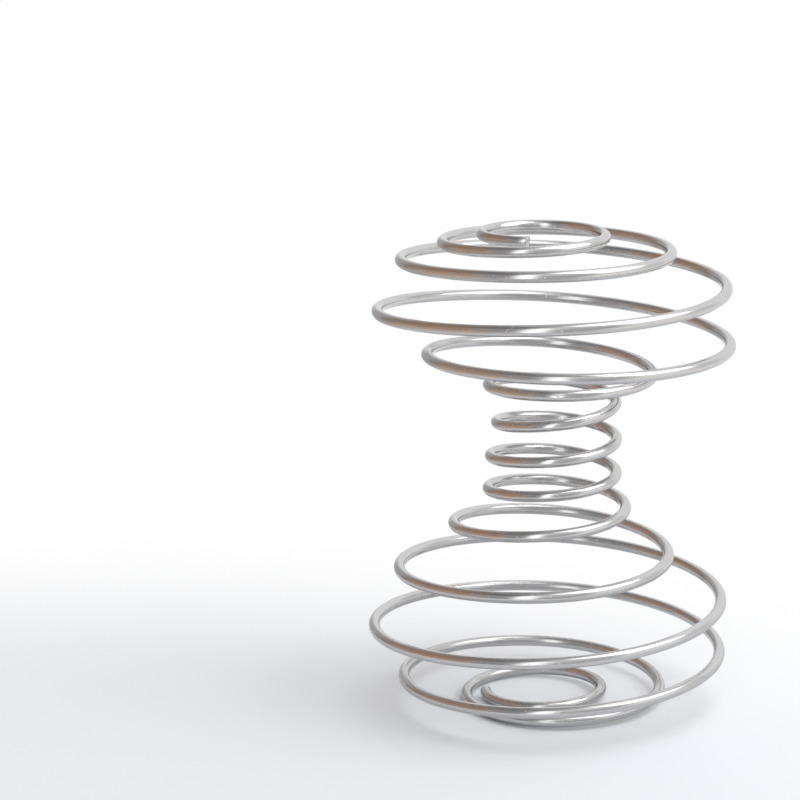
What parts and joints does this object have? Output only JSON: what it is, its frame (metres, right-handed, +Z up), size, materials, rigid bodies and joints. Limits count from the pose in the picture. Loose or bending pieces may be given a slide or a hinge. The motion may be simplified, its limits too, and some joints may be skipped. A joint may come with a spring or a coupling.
{
  "type": "compression spring",
  "caption": "Hourglass compression spring of bright round wire: wide upper and lower bulbs joined by a narrow neck, closed by small rings at the foot and the crown.",
  "frame": {"origin": "centre of the widest loops, on the plane that the foot ring rests on", "axes": "+Z up along the spring's axis, the foot's cut end on the -X side, -Y toward the viewer of the picture"},
  "size_m": [0.0518, 0.0521, 0.0687],
  "materials": {
    "wire": "bright drawn stainless wire"
  },
  "bodies": {
    "root": {"coil": "wire"}
  },
  "joints": []
}
